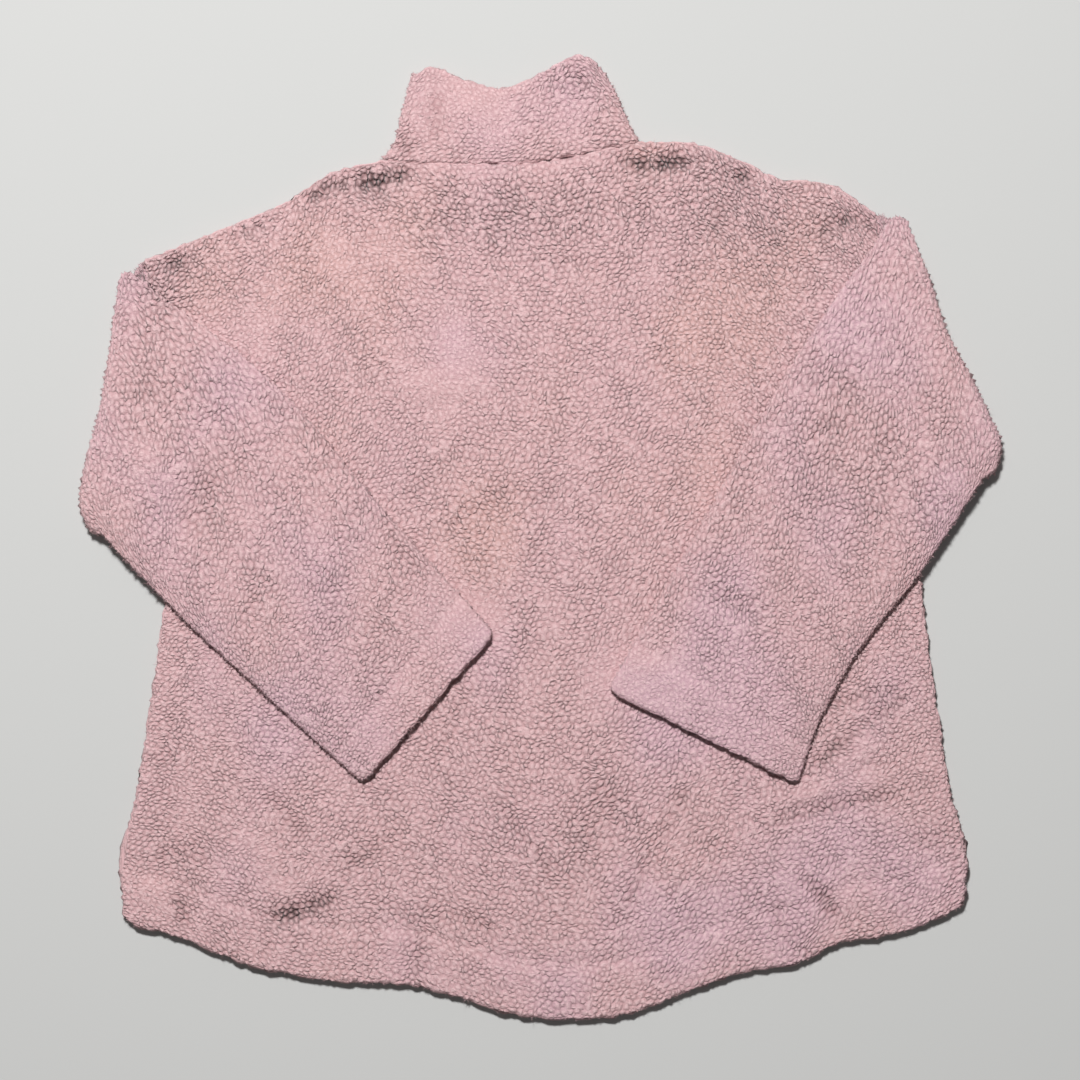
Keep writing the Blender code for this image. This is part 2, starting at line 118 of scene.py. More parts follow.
COLLAR_FRONT_DIP = 5.0  # the front half of the collar ends this much lower
HALF_COLLAR = 95.0  # half the width of the flattened collar

# %% [markdown]
# ## Curves and the sheet between them
#
# A garment panel is a sheet with four curved edges. The sum of the two ruled sheets between
# opposite edges, less the sheet between the corners, follows all four edges at once.

# %% Curves and patches
def smooth(points, fractions):
    """A curve through the points, read at fractions of its length: on each stretch a cubic
    whose end slopes are those of the line through the neighbouring points."""
    p = np.array(points, float)
    chord = np.concatenate([[0], np.cumsum(np.hypot(*np.diff(p, axis=0).T))])
    slope = np.gradient(p, chord, axis=0)
    s = np.clip(fractions, 0, 1) * chord[-1]
    k = np.clip(np.searchsorted(chord, s, side="right") - 1, 0, len(p) - 2)
    h = (chord[k + 1] - chord[k])[:, None]
    t = ((s - chord[k]) / h[:, 0])[:, None]
    bend = (2 * t**3 - 3 * t**2 + 1) * p[k] + (3 * t**2 - 2 * t**3) * p[k + 1]
    return bend + (t**3 - 2 * t**2 + t) * h * slope[k] + (t**3 - t**2) * h * slope[k + 1]


def join(stretches, breaks=()):
    """Curves end to end, as one function of a fraction, which meet at the breaks."""
    marks = np.concatenate([[0], breaks, [1]])

    def curve(fractions):
        f = np.clip(np.asarray(fractions, float), 0, 1)
        place = np.clip(np.searchsorted(marks, f, side="right") - 1, 0, len(stretches) - 1)
        out = np.zeros((len(f), 2))
        for k, stretch in enumerate(stretches):
            here = place == k
            out[here] = smooth(stretch, (f[here] - marks[k]) / (marks[k + 1] - marks[k]))
        return out

    return curve


def patch(edges, u, v):
    """Plan points of the sheet between the edges low, high, left and right, at fractions u
    across and v upwards: the two ruled sheets between opposite edges, less the corners'."""
    low, high, left, right = edges
    a, b = u[:, None], v[:, None]
    ends = np.array([0.0, 1.0])
    (sw, se), (nw, ne) = low(ends), high(ends)
    corners = (1 - a) * (1 - b) * sw + a * (1 - b) * se + (1 - a) * b * nw + a * b * ne
    return (1 - b) * low(u) + b * high(u) + (1 - a) * left(v) + a * right(v) - corners


def raised(plan, z):
    """Plan points with a height."""
    return np.column_stack([plan, np.broadcast_to(z, len(plan))])


def between(ends, share):
    """The number that lies at a share of the way from one end to the other."""
    return ends[0] + (ends[1] - ends[0]) * share


def bell(distance, width):
    """1 at no distance, falling off like a bell, to about a third at the width."""
    return np.exp(-(distance / width) ** 2)


CORNER_PULL, CORNER_REACH = 2.2, 6.0  # how far a corner is drawn in, and what moves with it


def rounded(plan, corners, towards):
    """Plan points with the corners drawn in towards a point, so that they lie round."""
    for corner in np.array(corners, float):
        pull = towards - corner
        near = bell(np.linalg.norm(plan - corner, axis=1), CORNER_REACH)
        plan = plan + CORNER_PULL * near[:, None] * pull / np.linalg.norm(pull)
    return plan

# %% [markdown]
# ## A mesh whose triangles follow the curls
#
# Sherpa looks like crumbs packed side by side with thin dark cracks between them, so the mesh
# is laid out the way the curls are. Their middles are scattered over the sheet, each three
# neighbours are joined to a triangle, and the middles of those triangles are where three
# curls meet. A fan of triangles from a middle to the meeting points round it is one curl.

# %% Slow unevenness
WAVES = 8
WAVE_LENGTHS = (0.7, 1.6)  # the shortest and the longest, over the size that is asked for


def waves(plan, size, seed):
    """Slow unevenness of about that size, mostly from -1 to 1: twice the mean of some waves
    with random directions, lengths and starts."""
    draw = np.random.default_rng(seed)
    total = np.zeros(len(plan))
    for _ in range(WAVES):
        angle, start = draw.uniform(0, 2 * math.pi, 2)
        step = 2 * math.pi / (size * draw.uniform(*WAVE_LENGTHS))
        total += np.sin(step * (plan @ [math.cos(angle), math.sin(angle)]) + start)
    return total * 2 / WAVES

# %% The mesh of curls
SCATTER = 0.55  # how far a middle moves from its place in the lattice at most, in steps
SIDE_ROOM, END_ROOM = 0.4, 0.5  # how far it stays from the borders, in steps
SIZE_SHIFT = 1.3  # slow sideways shift of the curls, which crowds some and stretches others
SHIFT_WAVE = 32.0  # how far apart the crowded places are
SHIFT_ROOM = 12.0  # how far from a border the shift is full
BORDER_CRACKS = 0.4  # share of the points on an edge that are cracks, which scallop an outline
BORDER_CRACK = 0.1  # and how near to a middle such a point counts


def curl_mesh(width, height, closed=False):
    """Points of the curls over a sheet as fractions (u, v), with how near each is to a
    middle (1) or to a crack (0), and its triangles.

    Middles start on a triangular lattice and move at random. Those on the border stay
    there, and some of them are cracks. A slow shift of all inner points makes whole patches
    of curls larger or smaller. A closed sheet is joined along its upright sides."""
    columns = round(width / CURL)
    rows = round(height / (CURL * math.sqrt(3) / 2))
    r, c = np.mgrid[1:rows, 0:columns]
    x, y = (c + 0.5 * (r % 2)).ravel(), r.ravel().astype(float)
    inner = x > 0
    x, y = x[inner], y[inner]
    angle, reach = random.uniform(0, 2 * math.pi, len(x)), np.sqrt(random.uniform(0, 1, len(x)))
    x = np.clip(x + SCATTER * reach * np.cos(angle), SIDE_ROOM, columns - SIDE_ROOM)
    y = np.clip(y + SCATTER * reach * np.sin(angle), END_ROOM, rows - END_ROOM)
    along, up = np.arange(columns + 1), np.arange(1, rows)
    borders = [(along, 0 * along), (along, 0 * along + rows), (0 * up, up), (0 * up + columns, up)]
    x, y = np.hstack([(x, y), *borders])
    place = np.column_stack([x * width / columns, y * height / rows])

    faces = delaunay_2d_cdt([tuple(p) for p in place], [], [], 0, 1e-6, False)[2]
    faces = np.array(faces)
    meeting = place[faces].mean(axis=1)
    start, end = faces.T.ravel(), np.roll(faces, -1, axis=1).T.ravel()
    owner = np.tile(np.arange(len(faces)), 3) + len(place)
    key, back = start * len(place) + end, end * len(place) + start
    order = np.argsort(key)
    found = order[np.clip(np.searchsorted(key, back, sorter=order), 0, len(key) - 1)]
    paired = key[found] == back
    fans = np.column_stack([start, owner[found], owner])[paired]
    rims = np.column_stack([start, end, owner])[~paired]

    points = np.concatenate([place, meeting])
    inside = np.minimum(points, (width, height) - points).min(axis=1)
    inside = np.clip(inside / SHIFT_ROOM, 0, 1)[:, None]
    shifts = [waves(points, SHIFT_WAVE, seed) for seed in (11, 12)]
    points += inside * SIZE_SHIFT * np.column_stack(shifts)
    points /= (width, height)
    first = len(place) - 2 * (len(along) + len(up))
    middle = np.concatenate([np.ones(len(place)), np.zeros(len(meeting))])
    border = middle[first:len(place)]
    cracked = random.uniform(0, 1, len(border)) < BORDER_CRACKS
    border[:] = np.where(cracked, BORDER_CRACK, 1.0)
    triangles = np.concatenate([fans, rims])
    low, high = first + along, first + len(along) + along
    left = np.concatenate([low[:1], first + 2 * len(along) + up - 1, high[:1]])
    right = np.concatenate([low[-1:], first + 2 * len(along) + len(up) + up - 1, high[-1:]])
    if closed:
        keep = np.arange(len(points))
        keep[right] = left
        triangles = keep[triangles]
        used, packed = np.unique(triangles, return_inverse=True)
        triangles = packed.reshape(-1, 3)
        places = np.zeros(len(points), int)
        places[used] = np.arange(len(used))
        points, middle = points[used], middle[used]
        low, high = places[keep[low]], places[keep[high]]
        edges = [(row, np.append(points[row[:-1], 0], 1.0)) for row in (low, high)]
    else:
        edges = [(row, points[row, k]) for row, k in ((low, 0), (high, 0), (left, 1), (right, 1))]
    return {"u": points[:, 0], "v": points[:, 1], "middle": middle, "triangles": triangles,
            "edges": edges}


def plain_mesh(u, v, closed=False):
    """A plain grid over the fractions u and v, for the inner face of a wall."""
    index = np.arange(len(u) * len(v)).reshape(len(v), len(u))
    if closed:
        index = np.column_stack([index, index[:, 0]])
    a, b, d, e = index[:-1, :-1], index[:-1, 1:], index[1:, :-1], index[1:, 1:]
    triangles = np.concatenate([np.stack(t, -1).reshape(-1, 3) for t in ((a, b, e), (a, e, d))])
    across, up = np.meshgrid(u, v)
    row = np.append(u, 1.0) if closed else u
    edges = [(index[0], row), (index[-1], row)]
    if not closed:
        edges += [(index[:, 0], v), (index[:, -1], v)]
    return {"u": across.ravel(), "v": up.ravel(), "triangles": triangles, "edges": edges}

# %% [markdown]
# The curly face and the plain inside of a wall have very different numbers of points along
# their common edge. A strip of triangles closes it like a zip.

# %% The strip between two rows of points
def strip(fine, coarse, fine_at, coarse_at):
    """Triangles between two rows of point numbers, given how far along each point lies.

    Each step of the fine row is joined to the coarse point nearest its middle, and each
    step of the coarse row to the fine point at which that nearest point changes."""
    nearest = np.searchsorted((coarse_at[1:] + coarse_at[:-1]) / 2,
                              (fine_at[1:] + fine_at[:-1]) / 2)
    one = np.column_stack([fine[:-1], fine[1:], coarse[nearest]])
    change = np.searchsorted(nearest, np.arange(1, len(coarse)))
    two = np.column_stack([coarse[:-1], coarse[1:], fine[change]])
    return np.concatenate([one, two])

# %% [markdown]
# ## Folds, bands and the lie of the pile
#
# Folds in so thick a cloth are soft. Each is a line with a half width and a height, and the
# height falls off like a bell to both sides.

# %% Height fields over the plan
FADE = 0.25  # a fold fades over this share of its length, and to this share
LEAST, MOST = 0.38, 1.6  # how far a layer can be pressed or fluffed up, over its thickness
BAND_EDGE = 2.0  # softness of a turned band's inner edge


def folds(plan, table):
    """Height added by folds (x0, y0, x1, y1, half width, height): a bell over the distance
    to the line, which fades towards its ends."""
    height = np.zeros(len(plan))
    for x0, y0, x1, y1, half_width, rise in table:
        start, run = np.array([x0, y0]), np.array([x1 - x0, y1 - y0])
        along = np.clip((plan - start) @ run / (run @ run), 0, 1)
        distance = np.linalg.norm(plan - start - along[:, None] * run, axis=1)
        fade = np.clip(np.minimum(along, 1 - along) / FADE, FADE, 1)
        height += rise * fade * bell(distance, half_width)
    return height


def settle(points, height, base, thickness):
    """Presses or fluffs up what lies above a base, so that its top moves by the height."""
    above = np.maximum(points[:, 2] - base, 0)
    settled = points.copy()
    settled[:, 2] += above * (np.clip(1 + height / thickness, LEAST, MOST) - 1)
    return settled


def blobs(plan, table):
    """Sum of soft spots (x, y, half width, half height, amount)."""
    total = np.zeros(len(plan))
    for x, y, across, up, amount in table:
        total += amount * bell(plan[:, 0] - x, across) * bell(plan[:, 1] - y, up)
    return total


def band(distance, depth, puff, groove, stitch_half_width):
    """A turned band along an edge: fuller up to its stitching, which is drawn in."""
    inside = 1 / (1 + np.exp((distance - depth) / BAND_EDGE))
    return puff * inside - groove * bell(distance - depth, stitch_half_width)

# %% Folds, places of deep or smooth pile, and tones
# columns: x0, y0, x1, y1, half width, height
BACK_FOLDS = [
    (-150, 285, -116, 283, 9, -3.1),  # beside the collar
    (-118, 284, -98, 297, 6, -2.8),
    (-182, 276, -150, 284, 7, -2.0),
    (-155, 266, -90, 270, 12, 1.8),
    (55, 304, 90, 297, 7, -2.8),
    (88, 297, 124, 303, 8, -3.1),
    (70, 278, 135, 278, 12, 1.8),
    (156, 293, 170, 284, 7, -2.6),
    (-80, 291, 0, 291, 7, 1.6),  # rolled band under the neck seam
    (0, 292, 60, 302, 7, 1.6),
    (-335, 200, -308, 188, 6, -2.6),  # left shoulder
    (-302, 218, -278, 223, 6, -2.4),
    (-325, 210, -316, 200, 6, -2.2),
    (-255, 236, -210, 256, 6, -1.8),
    (-190, 268, -172, 278, 7, -2.2),
    (200, 245, 240, 244, 7, -2.0),  # right shoulder
    (235, 252, 262, 256, 7, -3.0),
    (262, 256, 270, 235, 6, -2.4),
    (145, 272, 140, 238, 7, -1.6),
    (-30, 225, 65, 218, 6, -1.2),  # middle
    (-90, 135, -85, 105, 30, 1.6),
    (-170, 255, -155, 200, 12, 1.0),
    (-90, -5, -20, 45, 7, -1.4),
    (-115, 28, -50, 78, 8, -1.0),
    (-30, 30, 20, 36, 10, -1.4),
    (62, -5, 48, -60, 6, -1.0),
    (-55, -115, -85, -180, 7, -1.3),
    (225, -135, 300, -118, 6, -2.0),  # lower right
    (212, -190, 262, -148, 6, -2.8),
    (262, -148, 302, -122, 6, -2.4),
    (165, -230, 310, -200, 6, -2.6),
    (292, -245, 328, -242, 7, -1.8),
    (122, -192, 92, -248, 6, -2.2),  # lower middle
    (92, -248, 65, -304, 6, -2.0),
    (-40, -205, 20, -280, 7, -2.0),
    (60, -188, 38, -258, 18, -1.6),
    (5, -180, 0, -235, 18, 1.8),
    (-222, -200, -182, -245, 7, -2.2),  # lower left
    (-315, -256, -258, -252, 10, -2.2),
    (-220, -306, -185, -297, 9, -2.8),
    (-190, -297, -160, -287, 8, -3.0),
    (-168, -268, -112, -240, 9, -2.2),
    (-245, -235, -205, -272, 16, 2.0),
    (-320, -275, -305, -300, 13, 1.8),
    (-290, -282, -283, -318, 6, -2.8),
    (-312, -162, -300, -188, 12, -1.3),
    (-270, -92, -240, -132, 12, 1.3),
    (-140, -300, -40, -305, 6, -1.4),  # hem
    (-95, -300, -98, -360, 9, -1.8),
    (-62, -304, -28, -320, 6, -2.2),
    (-215, -318, -222, -338, 6, -2.0),
    (205, -265, 245, -312, 7, -2.2),
    (185, -285, 200, -330, 8, -1.9),
    (225, -280, 238, -305, 6, -2.0),
    (-228, -292, -168, -270, 8, 1.6),  # ridges beside the deeper creases
    (-202, -316, -206, -344, 7, 1.5),
    (-240, -312, -246, -334, 6, 1.2),
    (-304, -286, -298, -314, 8, 1.4),
    (-113, -305, -116, -350, 8, 1.2),
    (172, -217, 306, -187, 7, 1.5),
    (224, -202, 274, -160, 7, 1.2),
    (79, -243, 51, -298, 7, 1.3),
    (219, -262, 257, -305, 8, 1.7),
    (190, -262, 227, -312, 6, 1.2),
]
LEFT_SLEEVE_FOLDS = [
    (-255, 60, -285, -5, 14, -4.0),
    (-315, 80, -295, 25, 17, 2.6),
    (-352, 48, -342, 24, 10, 1.6),
    (-325, 120, -280, 110, 15, -2.0),
    (-342, 165, -295, 150, 16, -1.5),
    (-192, -40, -155, -50, 9, -2.0),
    (-175, -68, -135, -84, 9, -1.8),
    (-222, -40, -242, -84, 7, -1.8),
    (-195, 98, -130, 25, 7, -3.0),
    (-132, 27, -92, -48, 7, -3.4),
    (-235, 150, -190, 100, 9, 1.6),
]
RIGHT_SLEEVE_FOLDS = [
    (200, 128, 262, 115, 12, -2.8),
    (210, 78, 258, 100, 12, -2.8),
    (210, 34, 248, 8, 9, -2.0),
    (120, -40, 188, -65, 11, -2.8),
    (324, 28, 336, 54, 14, 2.0),
    (270, 190, 288, 165, 12, 1.6),
    (80, -90, 182, -145, 16, 1.4),
]
COLLAR_FOLDS = [
    (-82, 360, -82, 310, 8, -2.8),
    (-116, 316, -96, 308, 8, -2.4),
    (-55, 356, -40, 325, 13, 1.4),
    (5, 356, 18, 335, 8, -1.4),
    (26, 368, 42, 360, 8, -1.8),
]

# How deep the cracks between curls are: x, y, half width, half height, amount.
DEPTH = [
    (-20, 260, 100, 25, 0.5), (-135, 280, 30, 18, 0.6), (110, 290, 50, 20, 0.5),
    (175, 250, 70, 40, 0.35), (-300, 205, 40, 30, 0.5), (-285, 120, 45, 45, 0.2),
    (250, 60, 60, 55, 0.25), (15, -220, 60, 60, 0.2), (-135, 230, 28, 30, -0.3),
    (-70, 140, 26, 42, -0.4), (-85, 345, 22, 38, -0.35), (-40, 352, 55, 30, -0.4),
    (15, 365, 26, 14, 0.35), (-240, 170, 40, 28, -0.3), (-60, -60, 32, 25, -0.45),
    (75, -110, 40, 24, -0.45), (0, -350, 200, 30, -0.1), (-198, -300, 30, 16, 0.3),
]
# How far the pile grows over the neck seam and the shoulder ends of the armholes.
SEAM_FILL = [
    (-90, 300, 45, 10, 0.9), (-30, 299, 45, 10, 0.9), (35, 307, 40, 10, 0.8),
    (-316, 212, 14, 16, 1.6), (272, 252, 14, 16, 1.6),
]
# Rims that are pressed into the pile beside them and so lie in the dark.
DARK_RIMS = [(-175, 80, 26, 30, 1.0), (-128, 28, 22, 25, 1.0), (-92, -18, 20, 22, 0.8)]
# Where the pink turns to salmon (+) or to lilac (-).
TONES = [
    (-165, 220, 85, 65, 0.8), (150, 180, 70, 90, 0.8), (-50, 20, 70, 55, 0.6),
    (105, 60, 45, 50, 0.5), (-70, 145, 35, 40, -0.5), (-25, 240, 80, 30, -0.3),
    (130, -130, 80, 55, -0.9), (-215, -155, 60, 70, -0.5), (255, -265, 110, 60, -0.8),
    (120, -315, 90, 50, -0.7), (-25, -345, 60, 30, -0.4), (255, 140, 70, 80, -0.3),
    (-25, 350, 90, 40, -0.35),
]

# %% [markdown]
# ## Turning a sheet into curls
#
# The smooth face of a piece is moved along its normals: the middle of each curl goes out, and
# the points between the curls go in. Each point also remembers how near it is to a middle,
# how deep the cracks are there, what tone the pink has and how much painted shade its hollow
# or crease gets, for the material.

# %% Curls
PILE = 2.9  # from the cracks to the tops of the curls, where the pile is at its fullest
# Depth of the pile over PILE: as a rule, its slow change, what a full hollow adds, its least
# and most, and on an outline.
DEEP, DEEP_WAVE, DEEP_HOLLOW, DEEP_ENDS, DEEP_OUTLINE = 0.54, 0.16, 0.45, (0.15, 1.4), 1.25
# Over that depth, by luck: how far a middle rises, how far a meeting point sinks, and what a
# middle on an outline gets on top. The whole face sinks by SUNK.
RISE, SINK, TUFT, SUNK = (0.3, 0.5), (0.25, 0.6), (-0.15, 0.4), 0.2
FILLED = 0.18  # share of the meeting points that are filled,
FILLED_TO = (0.2, 0.56)  # and how near to a middle they then count
LUMP = 0.16  # height of the slow unevenness of the pile
KEPT = 0.45  # share of a wall's thickness that the cracks leave
STEEP = 1.4  # an outline is where a normal's upright share, times this, is under 1
FILL_MOST = 1.8  # how far the pile grows over a seam at most
# Creases get painted shade in the material, and CREASE_POWER keeps it faint in shallow ones.
CREASE_POWER = 1.5  # above 1, so that shallow creases hardly show in the colour
# A hollow's painted shade starts at this depth of pile and is full this much deeper.
DARK_FROM, DARK_OVER = 0.9, 0.5  # depth at which a hollow gets dark, and over which
TONE_WAVE = 0.35  # slow change of the tone


def crosses(corner):
    """Cross product of two sides of each triangle: twice its area, along its normal."""
    return np.cross(corner[:, 1] - corner[:, 0], corner[:, 2] - corner[:, 0])


def unit(vectors):
    """The same vectors, made one long."""
    return vectors / np.maximum(np.linalg.norm(vectors, axis=1), 1e-12)[:, None]


def normals_of(points, triangles):
    """Normal of each point: the sum of its triangles' cross products, made one long."""
    face = crosses(points[triangles])
    return unit(np.stack([
        np.bincount(triangles.ravel(), np.repeat(face[:, k], 3), len(points))
        for k in range(3)], axis=1))


def tone_of(plan, tint):
    """Where the pink lies between lilac (-1) and salmon (1), with a piece's own tint."""
    return np.clip(blobs(plan, TONES) + TONE_WAVE * waves(plan, 90, seed=4) + tint, -1, 1)


def curl(points, normal, middle, hollow, wall, strength, tint):
    """Moves a smooth face into curls along its normals, and gives its attributes.

    Middles rise and meeting points sink, further where the pile is deep, but never so far
    that the wall gets thin. Some meeting points are filled, where curls hang together. Along
    the neck and at the shoulder ends the pile grows sideways over the seam."""
    plan = points[:, :2]
    outline = np.clip(1 - STEEP * np.abs(normal[:, 2]), 0, 1)
    deep = DEEP + blobs(plan, DEPTH) + DEEP_WAVE * waves(plan, 38, seed=3)
    deep = np.clip(deep + DEEP_HOLLOW * hollow, *DEEP_ENDS) * strength
    reach = PILE * np.maximum(deep, DEEP_OUTLINE * outline)
    luck, filled = random.uniform(0, 1, (2, len(points)))
    partly = np.where(filled < FILLED, between(FILLED_TO, filled / FILLED), 0)
    middle = np.maximum(middle, partly)
    rise = middle * between(RISE, luck) - (1 - middle) * between(SINK, luck)
    rise += outline * middle * between(TUFT, luck)
    lumps = LUMP * (waves(plan, 15, seed=5) + 2 * waves(plan, 40, seed=6)) * strength
    fill = outline * np.clip(blobs(plan, SEAM_FILL), 0, FILL_MOST) * strength
    move = (rise - SUNK) * reach + lumps + fill
    inwards = np.maximum((1 - KEPT) * wall, outline * PILE)
    out = points + normal * np.maximum(move, -inwards)[:, None]
    # The hollow attribute is painted shade: deep pile in a hollow, and the rims of DARK_RIMS.
    dark = hollow * np.clip((deep - DARK_FROM) / DARK_OVER, 0, 1)
    dark = np.maximum(dark, outline * np.clip(blobs(plan, DARK_RIMS), 0, 1))
    return out, {"middle": middle, "deep": deep, "tone": tone_of(plan, tint), "hollow": dark,
                 "crease": np.maximum(hollow, 0) ** CREASE_POWER}

# %% [markdown]
# ## From two faces to a closed wall
#
# One function describes a piece: it gives the outer point, the inner point and how full the
# wall is at any place. The outer face gets the curls, the inner face a plain grid, and strips
# close the wall between them.

# %% Rounded edges
ROLL = math.pi * math.sqrt((EDGE**2 + (CLOTH / 2) ** 2) / 8)  # a quarter ellipse's length


def rolled(f, total):
    """Fraction across a wall and its fullness, for f from 0 to 1 along its rolled face.

    Over a rounded end the angle a grows evenly: the distance from the edge is EDGE times
    1 - cos a, and the fullness is sin a."""
    extra = ROLL - EDGE
    run = total + 2 * extra
    s = f * run
    place, full = s - extra, np.ones(len(s))
    for back, start, way in ((s, 0, 1), (run - s, total, -1)):
        turn = np.clip(back / ROLL, 0, 1) * math.pi / 2
        near = back < ROLL
        place = np.where(near, start + way * EDGE * (1 - np.cos(turn)), place)
        full = np.where(near, np.sin(turn), full)
    return place / total, full


def steps(total, size):
    """Places along a rolled face for a plain grid: even steps, with three at a rounded end."""
    part = ROLL / (total + 2 * (ROLL - EDGE))
    inner = np.linspace(part, 1 - part, max(2, round(total / size)))
    end = np.array([0, 1 / 3, 2 / 3]) * part
    return np.concatenate([end, inner, 1 - end[::-1]])

# %% Sewing a piece
PLUMP = 0.6  # a power that makes the pile on an edge fuller than a plain half round
TUCK = 3.0  # how far the backing ends inside an edge, along the rolled face
HOLLOW = 3.0  # a crease this deep is a full hollow
COMBED = -0.5  # the hollow's least value, where the pile is combed flat
INSIDE_STEP, ROUND_STEP = 16.0, 14.0  # steps of the grid inside, and round a tube
pieces = {}


def new_mesh(name, points, faces, numbers=()):
    """A smooth mesh of points in millimetres, with named numbers that its points carry."""
    mesh = bpy.data.meshes.new(name)
    mesh.from_pydata(points * MM, [], faces)
    for title, values in dict(numbers).items():
        mesh.attributes.new(title, "FLOAT", "POINT").data.foreach_set("value", values)
    mesh.shade_smooth()
    return mesh


def new_object(name, data):
    """A new object, put into the scene."""
    obj = bpy.data.objects.new(name, data)
    bpy.context.collection.objects.link(obj)
    return obj


def sew(name, surface, width, height, closed=False, strength=1.0, tint=0.0):
    """Makes the mesh of one piece from its surface(u, v) -> outer, inner, fullness, folds."""
    outer_mesh = curl_mesh(width, height, closed)
    outer, inner, full, dents = surface(outer_mesh["u"], outer_mesh["v"])
    half, full = (outer - inner) / 2, full ** PLUMP
    face = outer - half + half * full[:, None]
    triangles = outer_mesh["triangles"]
    normal = normals_of(face, triangles)
    if np.sum(normal * half) < 0:
        normal, triangles = -normal, triangles[:, ::-1]
    wall = 2 * np.linalg.norm(half, axis=1) * full
    hollow = np.clip(-dents / HOLLOW, COMBED, 1)
    face, attributes = curl(face, normal, outer_mesh["middle"], hollow, wall, strength, tint)
    face[:, 2] = np.maximum(face[:, 2], 0)

    around = (np.linspace(0, 1, round(width / ROUND_STEP) + 1)[:-1] if closed
              else steps(width, INSIDE_STEP))
    lining_mesh = plain_mesh(around, steps(height, INSIDE_STEP), closed)
    across, upwards = lining_mesh["u"], lining_mesh["v"]
    if not closed:
        across = TUCK / width + across * (1 - 2 * TUCK / width)
    upwards = TUCK / height + upwards * (1 - 2 * TUCK / height)
    outer, inner, full, _ = surface(across, upwards)
    half = (outer - inner) / 2
    lining = outer - half - half * full[:, None]
    shift = len(face)
    strips = [strip(a, b + shift, at, bt) for (a, at), (b, bt) in
              zip(outer_mesh["edges"], lining_mesh["edges"])]
    backing = lining_mesh["triangles"] + shift
    faces = np.concatenate([triangles, *strips, backing])
    slots = np.zeros(len(faces), int)
    slots[-len(backing):] = 1

    numbers = {title: np.append(values, np.zeros(len(lining)))
               for title, values in attributes.items()}
    mesh = new_mesh(name, np.concatenate([face, lining]), faces, numbers)
    mesh.polygons.foreach_set("material_index", slots)
    solid = bmesh.new()
    solid.from_mesh(mesh)
    bmesh.ops.recalc_face_normals(solid, faces=solid.faces)
    solid.to_mesh(mesh)
    solid.free()
    pieces[name] = {"object": new_object(name, mesh), "points": face,
                    "triangles": triangles, "tint": tint}
    print(f"{name}: {len(faces)} triangles, {len(mesh.vertices)} points")

# %% [markdown]
# ## The back
#
# The back is cut in one piece, with a shirt-tail hem that is turned up and stitched about
# 44 mm above its edge. Its four edges are the hem, the two sides with the armholes, and the
# shoulders with the neck between them, so one patch makes the whole panel.

# %% The back
BACK_WIDTH, BACK_HEIGHT = 640, 645  # about the middle of the panel, for even curls
DEEPEST = -3.1  # no fold of the back goes deeper, so that the wall keeps its thickness


def flat_panel(edges, width, height, low, high, table=(), hem=False):
    """A flat panel between its four edges as a surface of rolled places, from the height low
    to the height high. Folds and the turned hem lift its upper face."""
    hem_corners = edges[0](np.array([0.0, 1.0]))
    middle = (hem_corners.mean(axis=0) + edges[1](np.array([0.5]))[0]) / 2

    def surface(u, v):
        across, full_across = rolled(u, width)
        upwards, full_upwards = rolled(v, height)
        plan = patch(edges, across, upwards)
        plan = rounded(plan, hem_corners, middle)
        dents = np.maximum(folds(plan, table), DEEPEST)
        lift = dents.copy()
        if hem:
            column = np.linalg.norm(edges[1](across) - edges[0](across), axis=1)
            lift += band(upwards * column, *HEM_BAND)
        upper = settle(raised(plan, high), lift, low, high - low)
        return upper, raised(plan, low), full_across * full_upwards, dents
    return surface


left_side = join([LEFT_SIDE, LEFT_ARMHOLE], (ARMPIT,))
right_side = join([RIGHT_SIDE, RIGHT_ARMHOLE], (ARMPIT,))
back_top = join([LEFT_SHOULDER, BACK_NECK, RIGHT_SHOULDER], BACK_NECK_ENDS)
sew("sherpa_back",
    flat_panel((join([BACK_HEM]), back_top, left_side, right_side), BACK_WIDTH, BACK_HEIGHT,
               BACK_LOW, BACK_TOP, BACK_FOLDS, hem=True),
    BACK_WIDTH, BACK_HEIGHT)

# %% [markdown]
# ## The two fronts
#
# The fronts lie on the ground with their pile down, so the outer face of each is its lower
# one. The weight of the jacket presses the curls flat there, so their strength is small.

# %% The fronts
FRONT_WIDTH, FRONT_HEIGHT = 320, 600
PRESSED = 0.35  # strength of the curls that the jacket lies on


def front(side, hem, top, top_break, left, right):
    """Sews a front: a flat panel whose pile faces the ground."""
    surface = flat_panel((join([hem]), join(top, (top_break,)), left, right),
                         FRONT_WIDTH, FRONT_HEIGHT, 0.0, CLOTH)

    def turned(u, v):
        upper, lower, full, height = surface(u, v)
        return lower, upper, full, height

    sew(f"sherpa_front_{side}", turned, FRONT_WIDTH, FRONT_HEIGHT, strength=PRESSED)


def moved_end(points, place, end):
    """The same row of points with its first (0) or last (-1) point put elsewhere."""
    points = list(points)
    points[end] = tuple(place)
    return points


centre = np.array(CENTRE_FRONT, float)
left_edge, right_edge = centre - (FRONT_OPENING / 2, 0), centre + (FRONT_OPENING / 2, 0)
front("left", moved_end(LEFT_FRONT_HEM, left_edge[0], -1),
      [LEFT_SHOULDER, moved_end(LEFT_FRONT_NECK, left_edge[1], -1)], FRONT_NECK_END,
      join([LEFT_FRONT_HEM[:1] + LEFT_SIDE[1:], LEFT_ARMHOLE], (ARMPIT,)), join([left_edge]))
front("right", moved_end(RIGHT_FRONT_HEM, right_edge[0], 0),
      [moved_end(RIGHT_FRONT_NECK, right_edge[1], 0), RIGHT_SHOULDER], 1 - FRONT_NECK_END,
      join([right_edge]), join([RIGHT_FRONT_HEM[-1:] + RIGHT_SIDE[1:], RIGHT_ARMHOLE], (ARMPIT,)))

